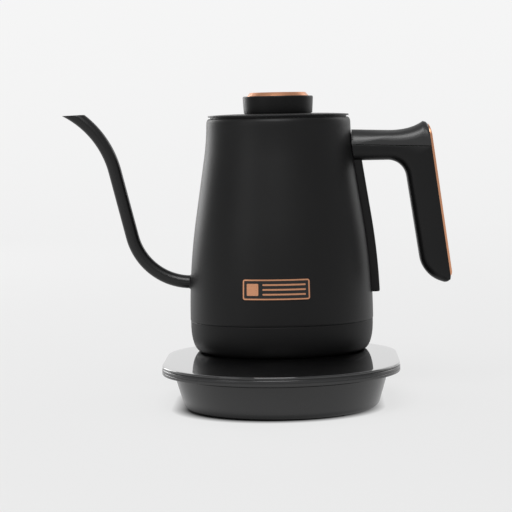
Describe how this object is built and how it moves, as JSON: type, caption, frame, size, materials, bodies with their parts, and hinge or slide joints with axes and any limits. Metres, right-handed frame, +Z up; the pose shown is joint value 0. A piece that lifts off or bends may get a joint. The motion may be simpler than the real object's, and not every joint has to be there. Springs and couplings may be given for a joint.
{
  "type": "electric gooseneck kettle",
  "caption": "Matte black electric gooseneck kettle with a tapered body, side handle and copper trim, standing on an oval powered base station.",
  "frame": {"origin": "middle of the footprint of base and kettle together, on the table under the feet", "axes": "+X from the spout's mouth to the handle, -Y to the front of the base with its touch area, +Z up"},
  "size_m": [0.2857, 0.229, 0.2216],
  "materials": {
    "panel_gloss": "polished",
    "base_shell": "fine matte",
    "black_plastic": "matte",
    "skirt_plastic": "matte",
    "handle_plastic": "soft matte",
    "black_coated_steel": "matte powder coat",
    "bare_steel": "brushed",
    "screw_steel": "plated",
    "copper": "satin copper plating",
    "contact_brass": "bright",
    "rubber": "matte",
    "circuit_board": "varnished",
    "display_black": "polished",
    "badge_black": "gloss"
  },
  "bodies": {
    "base": {"base_top_panel": "panel_gloss", "base_deck": "base_shell", "base_tub": "base_shell", "base_feet": "rubber", "base_socket": "black_plastic", "socket_contacts": "contact_brass", "socket_screws": "screw_steel", "control_board": "circuit_board", "display_module": "display_black", "touch_pads": "contact_brass", "power_board": "circuit_board", "board_screws": "screw_steel", "base_screws": "screw_steel", "cord_gland": "rubber"},
    "plug": {"kettle_plug": "black_plastic", "plug_contacts": "contact_brass"},
    "kettle": {"skirt": "skirt_plastic", "skirt_screws": "screw_steel", "body_shell": "black_coated_steel", "heater_plate": "bare_steel", "heating_element": "bare_steel", "thermal_cutout": "black_plastic", "temperature_probe": "bare_steel", "probe_seal": "rubber", "spout_tube": "black_coated_steel", "spout_collar": "black_coated_steel", "handle_bracket": "bare_steel", "handle_grip": "handle_plastic", "handle_top_cover": "handle_plastic", "handle_copper_strip": "copper", "handle_screws": "screw_steel", "strap": "skirt_plastic", "strap_studs": "screw_steel", "badge_plate": "badge_black", "badge_trim": "copper"},
    "lid": {"lid_plate": "black_coated_steel", "lid_cup": "bare_steel", "lid_seal": "rubber", "lid_knob": "handle_plastic", "knob_cap": "copper", "lid_screw": "screw_steel"}
  },
  "joints": [
    {"name": "kettle_lift", "type": "slide", "parent": "base", "child": "plug", "axis": [0, 0, 1], "range_m": [0, 0.08]},
    {"name": "kettle_swivel", "type": "hinge", "parent": "plug", "child": "kettle", "pos_m": [0.01667, 0.047, 0.032], "axis": [0, 0, 1], "continuous": true},
    {"name": "lid_lift", "type": "slide", "parent": "kettle", "child": "lid", "axis": [0, 0, 1], "range_m": [0, 0.06]}
  ]
}
